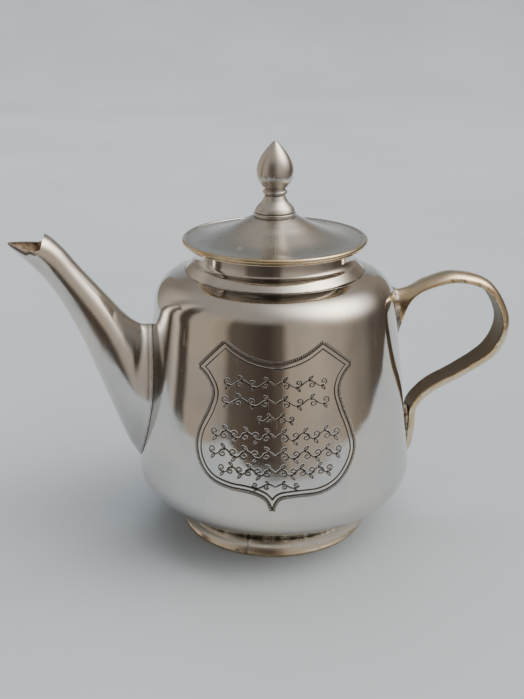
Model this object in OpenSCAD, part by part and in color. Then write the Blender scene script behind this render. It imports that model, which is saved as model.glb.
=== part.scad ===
// Metal teapot: a tapering round body on a skirted foot, with a strap handle, a long curved
// spout with a leaf-shaped lip, and a loose wired lid with a turned bud finial.
// The origin is the centre of the foot's bottom plane. +Z is up, the spout points to -X and
// the handle to +X. Every length is in millimetres.

/* [Body] */
// Thickness of the sheet that the body, neck and lid are made of
sheet = 0.9; // [0.7:0.1:1.2]
// Centre radius of the rounded bottom corner
corner_r = 45; // [44:0.5:46]
// Height of the bottom corner's centre
corner_z = 28; // [27.5:0.5:29]
// Rounding radius of the bottom corner
corner_round = 12.5; // [12:0.5:13]
// Centre radius of the shoulder rounding
shoulder_r = 36.2; // [35.5:0.1:37]
// Height of the shoulder rounding's centre
shoulder_z = 97; // [96:0.5:98]
// Rounding radius of the shoulder
shoulder_round = 13; // [12.5:0.5:13.5]
// Outer radius where the body meets the foot
bottom_r = 37.2; // [37:0.1:37.5]
// Height of the body's underside
bottom_z = 6.9; // [6.5:0.1:7.2]

/* [Neck] */
// Outer radius of the neck
neck_r = 31.2; // [31:0.1:31.6]
// Height of the body's top edge, under the neck
neck_z = 112.6; // [112.2:0.1:113]
// Height of the lip that carries the lid
lip_z = 120.9; // [120.5:0.1:121.5]
// Outer radius of the lip
lip_r = 35.6; // [35:0.1:36]
// Thickness of the lip
lip_t = 0.95; // [0.8:0.05:1]
// Outer radius of the flared foot of the neck
flare_r = 36.4; // [36:0.1:37]

/* [Foot] */
// Outer radius of the foot where it stands
foot_r = 39.2; // [39:0.1:40]
// Width of the foot's bottom rim
foot_rim = 1.4; // [1.2:0.1:1.8]

/* [Lid] */
// Height of the lid's underside, where it rests on the lip
lid_z = 121.9; // [121.9:0.1:122.3]
// Thickness of the lid's sheet
lid_sheet = 0.8; // [0.7:0.05:0.9]
// Centre radius of the wire round the lid
wire_at = 36.1; // [36:0.1:36.4]
// Radius of the lid's wire
wire_r = 0.95; // [0.9:0.05:1.1]
// Outer radius of the ring that drops into the neck
bezel_r = 29.8; // [29.4:0.1:29.9]
// Depth of that ring below the lid
bezel_depth = 7; // [5:0.5:9]
// Height of the flat seat at the top of the lid
crown_z = 132; // [131.5:0.1:132.2]

/* [Finial] */
// Radius of the disc under the finial
disc_r = 8.5; // [8:0.1:9]
// Thickness of the disc
disc_t = 1.6; // [1.2:0.1:2]
// Radius of the stud that holds the finial
stud_r = 1.75; // [1.5:0.05:2]
// Height of the finial's tip
tip_z = 161.6; // [161:0.1:162]

/* [Strainer] */
// Diameter of a strainer hole
hole_d = 3.2; // [2.5:0.1:3.5]
// Distance between neighbouring holes
hole_pitch = 5.2; // [5:0.1:6]

/* [Handle] */
// Half the width of the handle at its top
grip_half = 6; // [5.5:0.1:6.5]
// How far the solder stands round a joint
solder = 1.5; // [1:0.1:2]

/* [Hidden] */

PLATE = "#b9b4aa";
BRIGHT = "#cfccc4";
BRASS = "#b99a66";
SOLDER = "#a9a7a0";
round_fn = 96;
arc_steps = 10;

// Points of an arc about c with radius r, from angle a to angle b
function arc(c, r, a, b, n = arc_steps) =
    [for (i = [0 : n]) let (t = a + (b - a) * i / n) [c[0] + r * cos(t), c[1] + r * sin(t)]];

// Catmull-Rom curve through rows of numbers, with a number of steps between two rows
function blend_row(a, b, c, d, t) =
    0.5 * (2 * b + (c - a) * t + (2 * a - 5 * b + 4 * c - d) * t * t + (3 * b - a - 3 * c + d) * t * t * t);
function curve(rows, steps) =
    let (n = len(rows))
    [for (i = [0 : n - 2], k = [0 : steps - 1])
        blend_row(rows[max(i - 1, 0)], rows[i], rows[i + 1], rows[min(i + 2, n - 1)], k / steps),
     rows[n - 1]];

// A closed solid through a list of rings, each a loop of points
module loft(rings) {
    n = len(rings[0]);
    last = len(rings) - 1;
    points = [for (ring = rings, p = ring) p];
    sides = [for (i = [0 : last - 1], j = [0 : n - 1], half = [0, 1])
        let (k = (j + 1) % n, a = i * n + j, b = i * n + k, c = a + n, d = b + n)
        half == 0 ? [a, b, d] : [a, d, c]];
    ends = [[for (j = [n - 1 : -1 : 0]) j], [for (j = [0 : n - 1]) last * n + j]];
    polyhedron(points, concat(sides, ends));
}

// ---- body -------------------------------------------------------------------------------

// The wall leaves the bottom corner and reaches the shoulder along their common tangent
corner = [corner_r, corner_z];
shoulder = [shoulder_r, shoulder_z];
span = shoulder - corner;
wall_a = atan2(span[1], span[0]) - acos((corner_round - shoulder_round) / norm(span));

// Angle at which a line from point p touches the circle about c
function touch(c, r, p, side) =
    let (v = p - c) atan2(v[1], v[0]) + side * acos(r / norm(v));
bottom_a = touch(corner, corner_round, [bottom_r, bottom_z], 1);
top_a = touch(shoulder, shoulder_round, [neck_r, neck_z], -1);

// The body's outline, from the bottom to the neck, moved inwards by t
function outline(t) = concat(
    arc(corner, corner_round - t, bottom_a, wall_a),
    arc(shoulder, shoulder_round - t, wall_a, top_a));

neck_in = neck_r - sheet;
slope = top_a - 90;
neck_foot_z = neck_z - sheet * tan(slope);
fold_r = bottom_r - 2.7;

// Everything inside the body's outer surface, grown by t
module envelope(t = 0) {
    rotate_extrude($fn = round_fn)
        polygon(concat([[0, bottom_z - t], [bottom_r, bottom_z - t]], outline(-t),
                       [[neck_r, neck_z + t], [0, neck_z + t]]));
}

module strainer_holes() {
    for (row = [-2 : 2], col = [-1 : 1])
        let (shift = row % 2 == 0 ? 0 : hole_pitch / 2)
        if (row % 2 == 0 || col < 1)
            translate([-corner_r, col * hole_pitch + shift, 62 + row * hole_pitch * 0.87])
                rotate([0, -90, 0])
                    cylinder(h = 20, d = hole_d, $fn = 24);
}

module body_shell() {
    color(PLATE)
    difference() {
        rotate_extrude($fn = round_fn)
            polygon(concat(
                [[fold_r, bottom_z], [bottom_r, bottom_z]],
                outline(0),
                [[neck_r, neck_z], [neck_in, neck_foot_z], [neck_in, neck_foot_z - sheet]],
                [for (i = [len(outline(0)) - 1 : -1 : 0]) outline(sheet)[i]],
                [[bottom_r - 0.4, bottom_z + sheet], [fold_r, bottom_z + sheet]]));
        strainer_holes();
    }
}

module base_plate() {
    color(PLATE)
    translate([0, 0, bottom_z + sheet])
        cylinder(h = sheet, r = bottom_r - 0.9, $fn = round_fn);
}

module foot_ring() {
    top = bottom_z;
    color(PLATE)
    rotate_extrude($fn = round_fn)
        polygon([
            [foot_r - foot_rim, 0], [foot_r, 0], [foot_r, 0.9], [foot_r - 0.6, 1.7],
            [foot_r - 1.1, 3.5], [foot_r - 1.4, 5], [foot_r - 1.9, 6.1], [bottom_r - 0.8, top],
            [bottom_r - 2, top], [foot_r - 2.9, 5.6], [foot_r - 2.3, 3.8], [foot_r - 1.8, 2]]);
}

module neck_collar() {
    color(PLATE)
    rotate_extrude($fn = round_fn)
        polygon(concat(
            [[neck_in, neck_foot_z], [neck_r, neck_z],
             [flare_r, neck_z + (flare_r - neck_r) * tan(slope)],
             [flare_r, neck_z + (flare_r - neck_r) * tan(slope) + 0.5]],
            arc([neck_r + 3, neck_z + 4.4], 3, 250, 180),
            [[neck_r, lip_z], [neck_in, lip_z]]));
}

module neck_lip() {
    color(BRIGHT)
    translate([0, 0, lip_z])
        rotate_extrude($fn = round_fn)
            translate([neck_in, 0])
                square([lip_r - neck_in, lip_t]);
}

// ---- spout ------------------------------------------------------------------------------

// Each row is one station: keel x and z, ridge x and z, half width, roundness of the section
spout_rows = [
    [-54.5, 28, -45, 88.5, 13.5, 1.6],
    [-60.5, 36.5, -53.4, 89.2, 14.4, 1.6],
    [-65.2, 48.4, -56, 90.2, 14.2, 1.7],
    [-69.3, 60, -58.8, 92.2, 13.2, 1.8],
    [-72.8, 70, -61.6, 95, 11.8, 1.9],
    [-75.8, 78.5, -64.4, 98.4, 10.4, 2],
    [-79, 87, -67.4, 102, 9.2, 2],
    [-82.4, 94.4, -70.8, 106.1, 8.2, 2],
    [-85.6, 100.9, -74.4, 110.4, 7.5, 2],
    [-89.2, 107, -78.6, 115.6, 7, 2],
    [-92.4, 111.4, -83, 121.4, 6.8, 2]];
lip_rows = [
    [-93.1, 112.3, -88.8, 127.5, 6.9, 2],
    [-94.2, 113.7, -92.2, 128, 9.2, 2],
    [-97, 117, -96, 128, 7.8, 2],
    [-100.4, 120, -99.9, 128, 4.9, 2],
    [-102.8, 122.2, -102.5, 127, 2.2, 2],
    [-104.3, 123.9, -104.3, 125.4, 0.5, 2]];
spout_wall = 1;
ring_steps = 12;
tip_x = lip_rows[5][0];

// The half of a ring on one side of the seam: out along the outer skin, back along the inner
function half_ring(row, side, grow = 0, wall = spout_wall) =
    let (keel = [row[0], row[1]], ridge = [row[2], row[3]],
         mid = (keel + ridge) / 2, depth = norm(ridge - keel) / 2, up = (ridge - keel) / (2 * depth),
         d = depth + grow, w = row[4] + grow,
         di = max(d - wall, 0.4 * d), wi = max(w - wall, 0.4 * w), e = 2 / row[5],
         section = function (dd, ww, a)
             let (s = sin(a), c = cos(a),
                  h = dd * sign(s) * pow(abs(s), e), y = side * ww * pow(abs(c), e))
             [mid[0] + up[0] * h, y, mid[1] + up[1] * h],
         outer = [for (i = [0 : ring_steps]) section(d, w, -90 + 180 * i / ring_steps)],
         inner = [for (i = [ring_steps : -1 : 0]) section(di, wi, -90 + 180 * i / ring_steps)])
    wall > 0 ? concat(outer, inner) : outer;

// The edge of the hood over the mouth, then the rim of the lip, in side view
mouth_edge = [[-88.5, 133], [-90.1, 127.9], [-91.2, 125], [-91.8, 123], [-94, 122.4],
              [-98.5, 123.2], [-102, 124.2], [tip_x - 1, 124.8], [tip_x - 4, 125]];

// Everything above that edge, which is cut away
module mouth_cut() {
    for (i = [1 : len(mouth_edge) - 1])
        hull()
            for (p = [mouth_edge[i - 1], mouth_edge[i]])
                translate([p[0], -15, p[1]])
                    cube([0.01, 30, 30]);
}

module spout_half(side) {
    rings = [for (row = concat(curve(spout_rows, 2), curve(lip_rows, 2))) half_ring(row, side)];
    color(BRIGHT)
    difference() {
        loft(side > 0 ? rings : [for (i = [len(rings) - 1 : -1 : 0]) rings[i]]);
        mouth_cut();
        envelope();
    }
}

module spout_near_half() {
    spout_half(-1);
}

module spout_far_half() {
    spout_half(1);
}

module spout_solid(grow) {
    rows = [for (i = [0 : 4]) spout_rows[i]];
    loft([for (row = curve(rows, 2)) concat(half_ring(row, 1, grow, 0),
        [for (i = [ring_steps - 1 : -1 : 1]) half_ring(row, -1, grow, 0)[i]])]);
}

module spout_solder() {
    color(SOLDER)
    difference() {
        intersection() {
            spout_solid(0.9);
            envelope(0.8);
        }
        spout_solid(0);
        envelope();
    }
}

// ---- handle -----------------------------------------------------------------------------

// Each row is one station: inner x and z, outer x and z, half width
handle_rows = [
    [46, 79, 45, 99, grip_half + 0.6],
    [51.8, 86, 52.2, 99.6, grip_half + 0.5],
    [55.8, 95.2, 57.6, 100.8, grip_half + 0.2],
    [63, 100.2, 64.4, 104, grip_half],
    [76, 102.5, 76, 106.4, grip_half],
    [89, 98, 91.5, 101.2, grip_half],
    [96.3, 85, 100.9, 85, grip_half],
    [92.4, 73, 96.7, 69.8, grip_half - 0.2],
    [80, 64.2, 82.4, 60, grip_half - 0.6],
    [66.4, 57, 69, 53, grip_half - 0.9],
    [58.7, 48.4, 62.6, 46.4, grip_half - 1.1],
    [57.9, 38, 62, 37.6, grip_half - 1.6],
    [57.5, 29, 60.8, 28, grip_half - 3],
    [57, 23.4, 57.8, 23, grip_half - 5.2]];

// A half-round section: flat towards the body, crowned outside
crown_steps = 8;
function grip_ring(row) =
    let (flat = [row[0], row[1]], top = [row[2], row[3]], up = top - flat)
    [for (i = [crown_steps : -1 : 0])
        let (a = 180 * i / crown_steps, h = pow(sin(a), 0.8))
        [flat[0] + up[0] * h, row[4] * cos(a), flat[1] + up[1] * h]];

module grip() {
    loft([for (row = curve(handle_rows, 3)) grip_ring(row)]);
}

module handle() {
    color(BRIGHT)
    difference() {
        grip();
        envelope();
    }
}

// Solder that stands out of the wall by reach, over a pad with round ends from z0 to z1
module handle_solder(z0, z1, half, reach) {
    color(SOLDER)
    difference() {
        intersection() {
            union() {
                for (z = [z0 + half, z1 - half])
                    translate([40, 0, z])
                        rotate([0, 90, 0])
                            cylinder(h = 30, r = half, $fn = 48);
                translate([40, -half, z0 + half])
                    cube([30, 2 * half, z1 - z0 - 2 * half]);
            }
            envelope(reach);
        }
        grip();
        envelope();
    }
}

module handle_upper_solder() {
    handle_solder(82, 101.5, grip_half + solder, 1.4);
}

module handle_lower_solder() {
    handle_solder(29.6, 47.2, grip_half - 1.4 + solder, 2.4);
}

// ---- lid --------------------------------------------------------------------------------

lid_edge = wire_at - 0.6;
dome_top = [[lid_edge, lid_z + 1.5], [33, 123.6], [30, 123.9], [26, 124.8], [22, 126.1],
            [17, 128.1], [13, 130.1], [9.5, 131.8], [disc_r - 0.5, crown_z]];

module lid_dome() {
    top = curve(dome_top, 3);
    under = [for (i = [len(top) - 1 : -1 : 0]) [top[i][0], max(top[i][1] - lid_sheet, lid_z)]];
    color(PLATE)
    difference() {
        rotate_extrude($fn = round_fn)
            polygon(concat(top, [[stud_r, crown_z], [stud_r, crown_z - lid_sheet]], under));
        lid_wire();
    }
}

module lid_wire() {
    color(BRASS)
    rotate_extrude($fn = round_fn)
        translate([wire_at, lid_z + wire_r])
            circle(r = wire_r, $fn = 32);
}

// The ring's top edge meets the underside of the dome
bezel_rise = 1.2;
module lid_bezel() {
    color(PLATE)
    translate([0, 0, lid_z - bezel_depth])
        rotate_extrude($fn = round_fn)
            translate([bezel_r - lid_sheet, 0])
                square([lid_sheet, bezel_depth + bezel_rise]);
}

module finial_disc() {
    color(BRIGHT)
    translate([0, 0, crown_z])
        rotate_extrude($fn = round_fn)
            translate([stud_r, 0])
                square([disc_r - stud_r, disc_t]);
}

// Flare, waist, bead and pointed bud, turned in one piece and drilled for its stud
finial_z = crown_z + disc_t;
bud_rows = [[4.1, 143.2], [5.6, 144.6], [6.9, 146.8], [7.3, 149.6], [6.8, 152.4], [5.5, 155.3],
            [3.6, 158.2], [1.6, 160.4], [0.2, tip_z]];
module finial() {
    flare = curve([[7.9, finial_z + 0.8], [6.9, 136.3], [5, 138.2], [4.1, 140.2]], 3);
    color(BRIGHT)
    difference() {
        rotate_extrude($fn = round_fn)
            polygon(concat(
                [[0, finial_z], [7.9, finial_z]], flare,
                arc([4, 141.6], 0.9, -80, 80, 6), curve(bud_rows, 3), [[0, tip_z]]));
        translate([0, 0, finial_z - 1])
            cylinder(h = 8, r = stud_r, $fn = 32);
    }
}

stud_end = 126.6;
module finial_stud() {
    color(BRASS)
    translate([0, 0, stud_end])
        cylinder(h = finial_z + 7 - stud_end, r = stud_r, $fn = 32);
}

washer_t = 0.8;
module finial_washer() {
    color(BRASS)
    translate([0, 0, crown_z - lid_sheet - washer_t])
        rotate_extrude($fn = 48)
            translate([stud_r, 0])
                square([3, washer_t]);
}

nut_flats = 7;
nut_t = 3;
module finial_nut() {
    color(BRASS)
    translate([0, 0, crown_z - lid_sheet - washer_t - nut_t])
        difference() {
            cylinder(h = nut_t, d = nut_flats / cos(30), $fn = 6);
            translate([0, 0, -1])
                cylinder(h = nut_t + 2, r = stud_r, $fn = 32);
        }
}

body_shell();
base_plate();
foot_ring();
neck_collar();
neck_lip();
spout_near_half();
spout_far_half();
spout_solder();
handle();
handle_upper_solder();
handle_lower_solder();
lid_dome();
lid_wire();
lid_bezel();
finial_disc();
finial();
finial_stud();
finial_washer();
finial_nut();
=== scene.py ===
"""The looks of a worn, engraved silver teapot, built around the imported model.

Lengths are in millimetres until mesh_object() turns them into metres. The origin is the centre
of the foot, +Z is up, the spout points to -X and the handle to +X.
"""

import math

import bmesh
import bpy
import numpy as np
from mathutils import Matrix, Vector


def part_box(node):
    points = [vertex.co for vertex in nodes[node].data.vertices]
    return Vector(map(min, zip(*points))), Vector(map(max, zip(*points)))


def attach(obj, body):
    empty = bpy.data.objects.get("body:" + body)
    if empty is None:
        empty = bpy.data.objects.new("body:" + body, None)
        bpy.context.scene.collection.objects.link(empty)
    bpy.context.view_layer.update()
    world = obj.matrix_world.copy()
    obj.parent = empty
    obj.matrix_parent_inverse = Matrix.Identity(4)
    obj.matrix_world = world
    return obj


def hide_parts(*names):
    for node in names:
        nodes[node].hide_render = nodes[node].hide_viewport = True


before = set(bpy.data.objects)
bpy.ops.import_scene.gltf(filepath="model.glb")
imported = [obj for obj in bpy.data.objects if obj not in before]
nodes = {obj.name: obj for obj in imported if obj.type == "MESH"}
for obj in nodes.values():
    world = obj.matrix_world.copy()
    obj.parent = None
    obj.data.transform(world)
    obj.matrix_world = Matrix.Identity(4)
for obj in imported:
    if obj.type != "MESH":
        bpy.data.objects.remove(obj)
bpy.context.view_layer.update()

MM = 0.001

# ---- shapes and curves ----


def curve(rows, steps):
    """Catmull-Rom curve through rows of numbers, with a number of steps between two rows."""
    rows = np.array(rows, float)
    last = len(rows) - 1
    t = np.linspace(0, last, last * steps + 1)
    return along(rows, t)


def along(rows, t):
    """Points of the Catmull-Rom curve through rows at the parameters t."""
    rows = np.asarray(rows, float)
    last = len(rows) - 1
    t = np.clip(np.asarray(t, float), 0, last)
    i = np.minimum(t.astype(int), last - 1)
    u = (t - i)[..., None]
    a, b = rows[np.maximum(i - 1, 0)], rows[i]
    c, d = rows[i + 1], rows[np.minimum(i + 2, last)]
    return 0.5 * (2 * b + (c - a) * u + (2 * a - 5 * b + 4 * c - d) * u**2
                  + (3 * b - a - 3 * c + d) * u**3)


def arc(centre, radius, start, end, steps=16):
    """Points of an arc, with its angles in degrees."""
    a = np.radians(np.linspace(start, end, steps + 1))
    return np.stack([centre[0] + radius * np.cos(a), centre[1] + radius * np.sin(a)], -1)


def rounded(points, steps=5):
    """A closed outline of (x, y, corner radius) rows with its corners rounded."""
    made = []
    count = len(points)
    for k, (x, y, radius) in enumerate(points):
        here = np.array([x, y], float)
        if radius <= 0:
            made.append(here)
            continue
        before = np.array(points[k - 1][:2], float) - here
        after = np.array(points[(k + 1) % count][:2], float) - here
        reach = min(radius, 0.48 * np.hypot(*before), 0.48 * np.hypot(*after))
        p = here + before / np.hypot(*before) * reach
        q = here + after / np.hypot(*after) * reach
        for t in np.linspace(0, 1, steps):
            made.append((1 - t) ** 2 * p + 2 * t * (1 - t) * here + t**2 * q)
    return np.array(made)


def dense(outline, step, closed=True):
    """An outline with no piece of it longer than step."""
    ends = np.vstack([outline, outline[:1]]) if closed else outline
    made = []
    for p, q in zip(ends[:-1], ends[1:]):
        parts = max(1, math.ceil(np.hypot(*(q - p)) / step))
        made.extend(p + (q - p) * k / parts for k in range(parts))
    if not closed:
        made.append(ends[-1])
    return np.array(made)


def waves(u, v, seed, count=7, top=5):
    """A smooth uneven field from 0 to 1 over an angle u in radians and a height v in mm."""
    dice = np.random.default_rng(seed)
    total = np.zeros(np.broadcast(u, v).shape)
    for _ in range(count):
        turns = dice.integers(1, top + 1)
        total += np.sin(turns * u + dice.uniform(-0.09, 0.09) * v + dice.uniform(0, 6.3))
    return 0.5 + 0.5 * total / count


def bump_at(u, v, radius, at, height, size):
    """A soft round mark of depth 1 centred on azimuth at (degrees) and height, size across."""
    across = (np.mod(u - math.radians(at) + math.pi, 2 * math.pi) - math.pi) * radius
    return np.exp(-(across**2 + (v - height) ** 2) / (0.35 * size) ** 2)


# ---- meshes ----


def grid_faces(rows, cols, wrap_rows=False, wrap_cols=False):
    """Quads over a grid of points stored row by row."""
    i = np.arange(rows if wrap_rows else rows - 1)
    j = np.arange(cols if wrap_cols else cols - 1)
    i, j = np.meshgrid(i, j, indexing="ij")
    up, right = (i + 1) % rows, (j + 1) % cols
    quads = [i * cols + j, i * cols + right, up * cols + right, up * cols + j]
    return np.stack(quads, -1).reshape(-1, 4)


def smooth(mesh, angle):
    """Shades a mesh smooth, but for edges sharper than an angle in degrees."""
    mesh.polygons.foreach_set("use_smooth", [True] * len(mesh.polygons))
    mesh.set_sharp_from_angle(angle=math.radians(angle))


def mesh_object(name, points, faces, material, angle=38, weld=True, marks=None):
    """A smooth-shaded object in metres, with its normals outwards and its marks as attributes."""
    mesh = bpy.data.meshes.new(name)
    mesh.from_pydata((np.asarray(points) * MM).tolist(), [], [list(map(int, f)) for f in faces])
    for mark, values in (marks or {}).items():
        layer = mesh.attributes.new(mark, "FLOAT", "POINT")
        layer.data.foreach_set("value", np.asarray(values, np.float32).ravel())
    work = bmesh.new()
    work.from_mesh(mesh)
    if weld:
        bmesh.ops.remove_doubles(work, verts=work.verts, dist=1e-7)
    bmesh.ops.recalc_face_normals(work, faces=work.faces)
    work.to_mesh(mesh)
    work.free()
    smooth(mesh, angle)
    mesh.materials.append(material)
    made = bpy.data.objects.new(name, mesh)
    bpy.context.scene.collection.objects.link(made)
    return made


def revolve(name, outline, material, columns, shape=None, marks=None):
    """A solid of revolution of a closed outline of (radius, height) rows.

    shape(azimuth, radius, height) gives the uneven radius and height of a hand-made piece, and
    marks maps an attribute's name to a function of azimuth, radius and height.
    """
    azimuth = np.linspace(0, 2 * math.pi, columns, endpoint=False)[None, :]
    radius = np.repeat(outline[:, :1], columns, 1)
    height = np.repeat(outline[:, 1:2], columns, 1)
    azimuth = np.repeat(azimuth, len(outline), 0)
    given = {key: rule(azimuth, radius, height) for key, rule in (marks or {}).items()}
    if shape:
        radius, height = shape(azimuth, radius, height)
    points = np.stack([radius * np.cos(azimuth), radius * np.sin(azimuth), height], -1)
    faces = grid_faces(len(outline), columns, True, True)
    return mesh_object(name, points.reshape(-1, 3), faces, material, marks=given)


# ---- materials ----


class Graph:
    """A short way to write the nodes of a tree."""

    def __init__(self, tree):
        self.tree = tree

    def add(self, kind, **values):
        made = self.tree.nodes.new(kind)
        for key, value in values.items():
            setattr(made, key, value)
        return made

    def put(self, socket, value):
        if isinstance(value, bpy.types.NodeSocket):
            self.tree.links.new(value, socket)
        else:
            socket.default_value = value

    def math(self, operation, a, b=0.0, clamp=False):
        made = self.add("ShaderNodeMath", operation=operation, use_clamp=clamp)
        self.put(made.inputs[0], a)
        self.put(made.inputs[1], b)
        return made.outputs[0]

    def span(self, value, low, high, out_low=0.0, out_high=1.0):
        """value moved from the range low to high into the range out_low to out_high."""
        made = self.add("ShaderNodeMapRange", interpolation_type="SMOOTHSTEP")
        for k, number in enumerate((value, low, high, out_low, out_high)):
            self.put(made.inputs[k], number)
        return made.outputs[0]

    def mix(self, factor, a, b):
        made = self.add("ShaderNodeMix", data_type="RGBA")
        self.put(made.inputs[0], factor)
        self.put(made.inputs[6], a)
        self.put(made.inputs[7], b)
        return made.outputs[2]

    def vector(self, operation, a, b):
        made = self.add("ShaderNodeVectorMath", operation=operation)
        self.put(made.inputs[0], a)
        self.put(made.inputs["Scale" if operation == "SCALE" else 1], b)
        return made.outputs["Value" if operation == "DOT_PRODUCT" else 0]


class Nodes(Graph):
    """The nodes of a material."""

    def __init__(self, name):
        self.material = bpy.data.materials.new(name)
        self.material.use_nodes = True
        super().__init__(self.material.node_tree)
        self.place = self.add("ShaderNodeTexCoord").outputs["Object"]

    def finish(self, colour, rough, relief=None, metallic=1.0):
        """Sets what the shader needs and gives the material."""
        shader = self.tree.nodes["Principled BSDF"]
        self.put(shader.inputs["Base Color"], colour)
        self.put(shader.inputs["Roughness"], rough)
        shader.inputs["Metallic"].default_value = metallic
        if relief is not None:
            self.put(shader.inputs["Normal"], relief)
        return self.material

    def stretch(self, vector, scale, turn=(0, 0, 0)):
        made = self.add("ShaderNodeMapping")
        self.put(made.inputs[0], vector)
        made.inputs["Rotation"].default_value = [math.radians(a) for a in turn]
        made.inputs["Scale"].default_value = scale
        return made.outputs[0]

    def noise(self, vector, scale, detail=4.0, rough=0.55, distortion=0.0):
        made = self.add("ShaderNodeTexNoise")
        self.put(made.inputs["Vector"], vector)
        made.inputs["Scale"].default_value = scale
        made.inputs["Detail"].default_value = detail
        made.inputs["Roughness"].default_value = rough
        made.inputs["Distortion"].default_value = distortion
        return made.outputs[0]

    def spots(self, vector, scale, size):
        """Round spots, one in each cell of a random pattern, 1 at their middle."""
        made = self.add("ShaderNodeTexVoronoi")
        self.put(made.inputs["Vector"], vector)
        made.inputs["Scale"].default_value = scale
        return self.span(made.outputs["Distance"], size, 0.3 * size)

    def mark(self, name):
        """A mesh attribute as a number."""
        made = self.add("ShaderNodeAttribute", attribute_name=name)
        return made.outputs["Fac"]

    def round_the_axis(self, radius):
        """Coordinates that run round the pot's axis, up it and out of it, in metres."""
        split = self.add("ShaderNodeSeparateXYZ")
        self.put(split.inputs[0], self.place)
        x, y, z = split.outputs
        turn = self.math("ARCTAN2", y, x)
        joined = self.add("ShaderNodeCombineXYZ")
        self.put(joined.inputs[0], self.math("MULTIPLY", turn, radius))
        self.put(joined.inputs[1], z)
        return joined.outputs[0]

    def scratches(self, vector, density):
        """Fine straight scratches in a few directions, broken up into short runs."""
        total = None
        for k, turn in enumerate((17, -38, 74)):
            lines = self.noise(self.stretch(vector, (density, density * 0.012, density * 0.2),
                                            (0, 0, turn)), 1.0, 2.0, 0.5)
            line = self.span(lines, 0.66, 0.74)
            broken = self.span(self.noise(vector, 90 + 37 * k, 1.0), 0.52, 0.66)
            one = self.math("MULTIPLY", line, broken)
            total = one if total is None else self.math("MAXIMUM", total, one)
        return total

    def bump(self, height, distance, normal=None, strength=1.0):
        made = self.add("ShaderNodeBump")
        self.put(made.inputs["Height"], height)
        made.inputs["Distance"].default_value = distance
        made.inputs["Strength"].default_value = strength
        if normal is not None:
            self.put(made.inputs["Normal"], normal)
        return made.outputs[0]


def rgb(red, green, blue):
    return (red, green, blue, 1.0)


SILVER = rgb(0.68, 0.635, 0.57)
SILVER_COOL = rgb(0.60, 0.595, 0.58)
WARM = rgb(0.74, 0.645, 0.51)
GOLDEN = rgb(0.72, 0.58, 0.38)
TARNISH = rgb(0.42, 0.34, 0.25)
BRASS_RAW = rgb(0.62, 0.46, 0.26)
BRASS_PALE = rgb(0.76, 0.63, 0.43)
# dark oxide for engraved lines and pits, also used as painted shade
OXIDE_AND_SHADE = rgb(0.035, 0.026, 0.02)


def worn_silver(name, axis_radius, rough, brushing, tarnish, worn=0.0,
                tones=(SILVER, SILVER_COOL)):
    """Polished plate with wear: brushing round the axis, scratches, pits, tarnish and brass edges.

    The mesh's attributes add dark engraved lines, painted shade (on the handle's inner face and
    where parts meet, with real grime at seams) and brass.
    """
    n = Nodes(name)
    place = n.place
    turned = n.round_the_axis(axis_radius)
    clouds = n.noise(place, 34.0, 5.0, 0.6, 0.4)
    fine_clouds = n.noise(place, 260.0, 3.0, 0.6)
    lines = n.noise(n.stretch(turned, (22, 2600, 1)), 1.0, 3.0, 0.6)
    hair = n.noise(n.stretch(turned, (60, 900, 1), (0, 0, 3)), 1.0, 2.0, 0.5)
    marks = n.scratches(turned, 2600)
    pit = n.math("MULTIPLY", n.spots(place, 420.0, 0.11), n.span(clouds, 0.5, 0.68), clamp=True)
    # marks for engraved lines and painted shade on the handle's inner face, for painted shade where
    # parts meet with real grime at seams, and for worn brass edges
    groove_and_shade, dirt_and_shade, bare = n.mark("groove_and_shade"), n.mark("dirt_and_shade"), n.mark("worn")

    tone = n.mix(n.span(clouds, 0.35, 0.65), *tones)
    stain = n.math("MULTIPLY", n.span(n.noise(place, 55.0, 6.0, 0.65, 0.8), 0.54, 0.78), tarnish)
    tone = n.mix(stain, tone, TARNISH)
    edge = n.math("MULTIPLY", bare, n.span(n.noise(place, 150.0, 5.0, 0.65), 0.3, 0.56))
    edge = n.math("MAXIMUM", edge, n.math("MULTIPLY", n.span(fine_clouds, 0.6, 0.75), worn))
    tone = n.mix(edge, tone, n.mix(n.span(fine_clouds, 0.4, 0.6), BRASS_PALE, BRASS_RAW))
    # painted shade where parts meet, with some real grime at seams, broken up by noise
    shade_and_grime = n.math("MULTIPLY", dirt_and_shade, n.span(n.noise(place, 330.0, 4.0, 0.6), 0.28, 0.62))
    dark = n.math("MAXIMUM", n.math("MAXIMUM", groove_and_shade, shade_and_grime), n.math("MULTIPLY", pit, 0.75))

    shine = n.span(clouds, 0.3, 0.72, rough * 0.8, rough * 1.35)
    shine = n.math("ADD", shine, n.math("MULTIPLY", marks, 0.16))
    shine = n.math("ADD", shine, n.math("MULTIPLY", stain, 0.22))
    shine = n.math("ADD", shine, n.math("MULTIPLY", dark, 0.35), clamp=True)

    height = n.math("MULTIPLY", n.math("ADD", n.math("MULTIPLY", lines, 0.7), hair), brushing)
    height = n.math("SUBTRACT", height, n.math("MULTIPLY", marks, 0.9))
    height = n.math("SUBTRACT", height, n.math("MULTIPLY", pit, 3.0))
    relief = n.bump(height, 0.000012)
    relief = n.bump(n.noise(place, 48.0, 2.0, 0.5), 0.00035, relief, 0.35)
    return n.finish(n.mix(dark, tone, OXIDE_AND_SHADE), shine, relief)


def soft_solder(name):
    """Rough grey solder with bright lumps and grime in its hollows."""
    n = Nodes(name)
    lumps = n.noise(n.place, 420.0, 5.0, 0.62, 0.5)
    grain = n.noise(n.place, 1900.0, 3.0, 0.6)
    tone = n.mix(n.span(lumps, 0.36, 0.62), rgb(0.13, 0.11, 0.085), rgb(0.60, 0.59, 0.54))
    tone = n.mix(n.span(n.noise(n.place, 190.0, 3.0), 0.55, 0.72), tone, rgb(0.34, 0.37, 0.26))
    relief = n.bump(grain, 0.00005, n.bump(lumps, 0.0004))
    return n.finish(tone, n.span(grain, 0.3, 0.7, 0.3, 0.55), relief)


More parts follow.
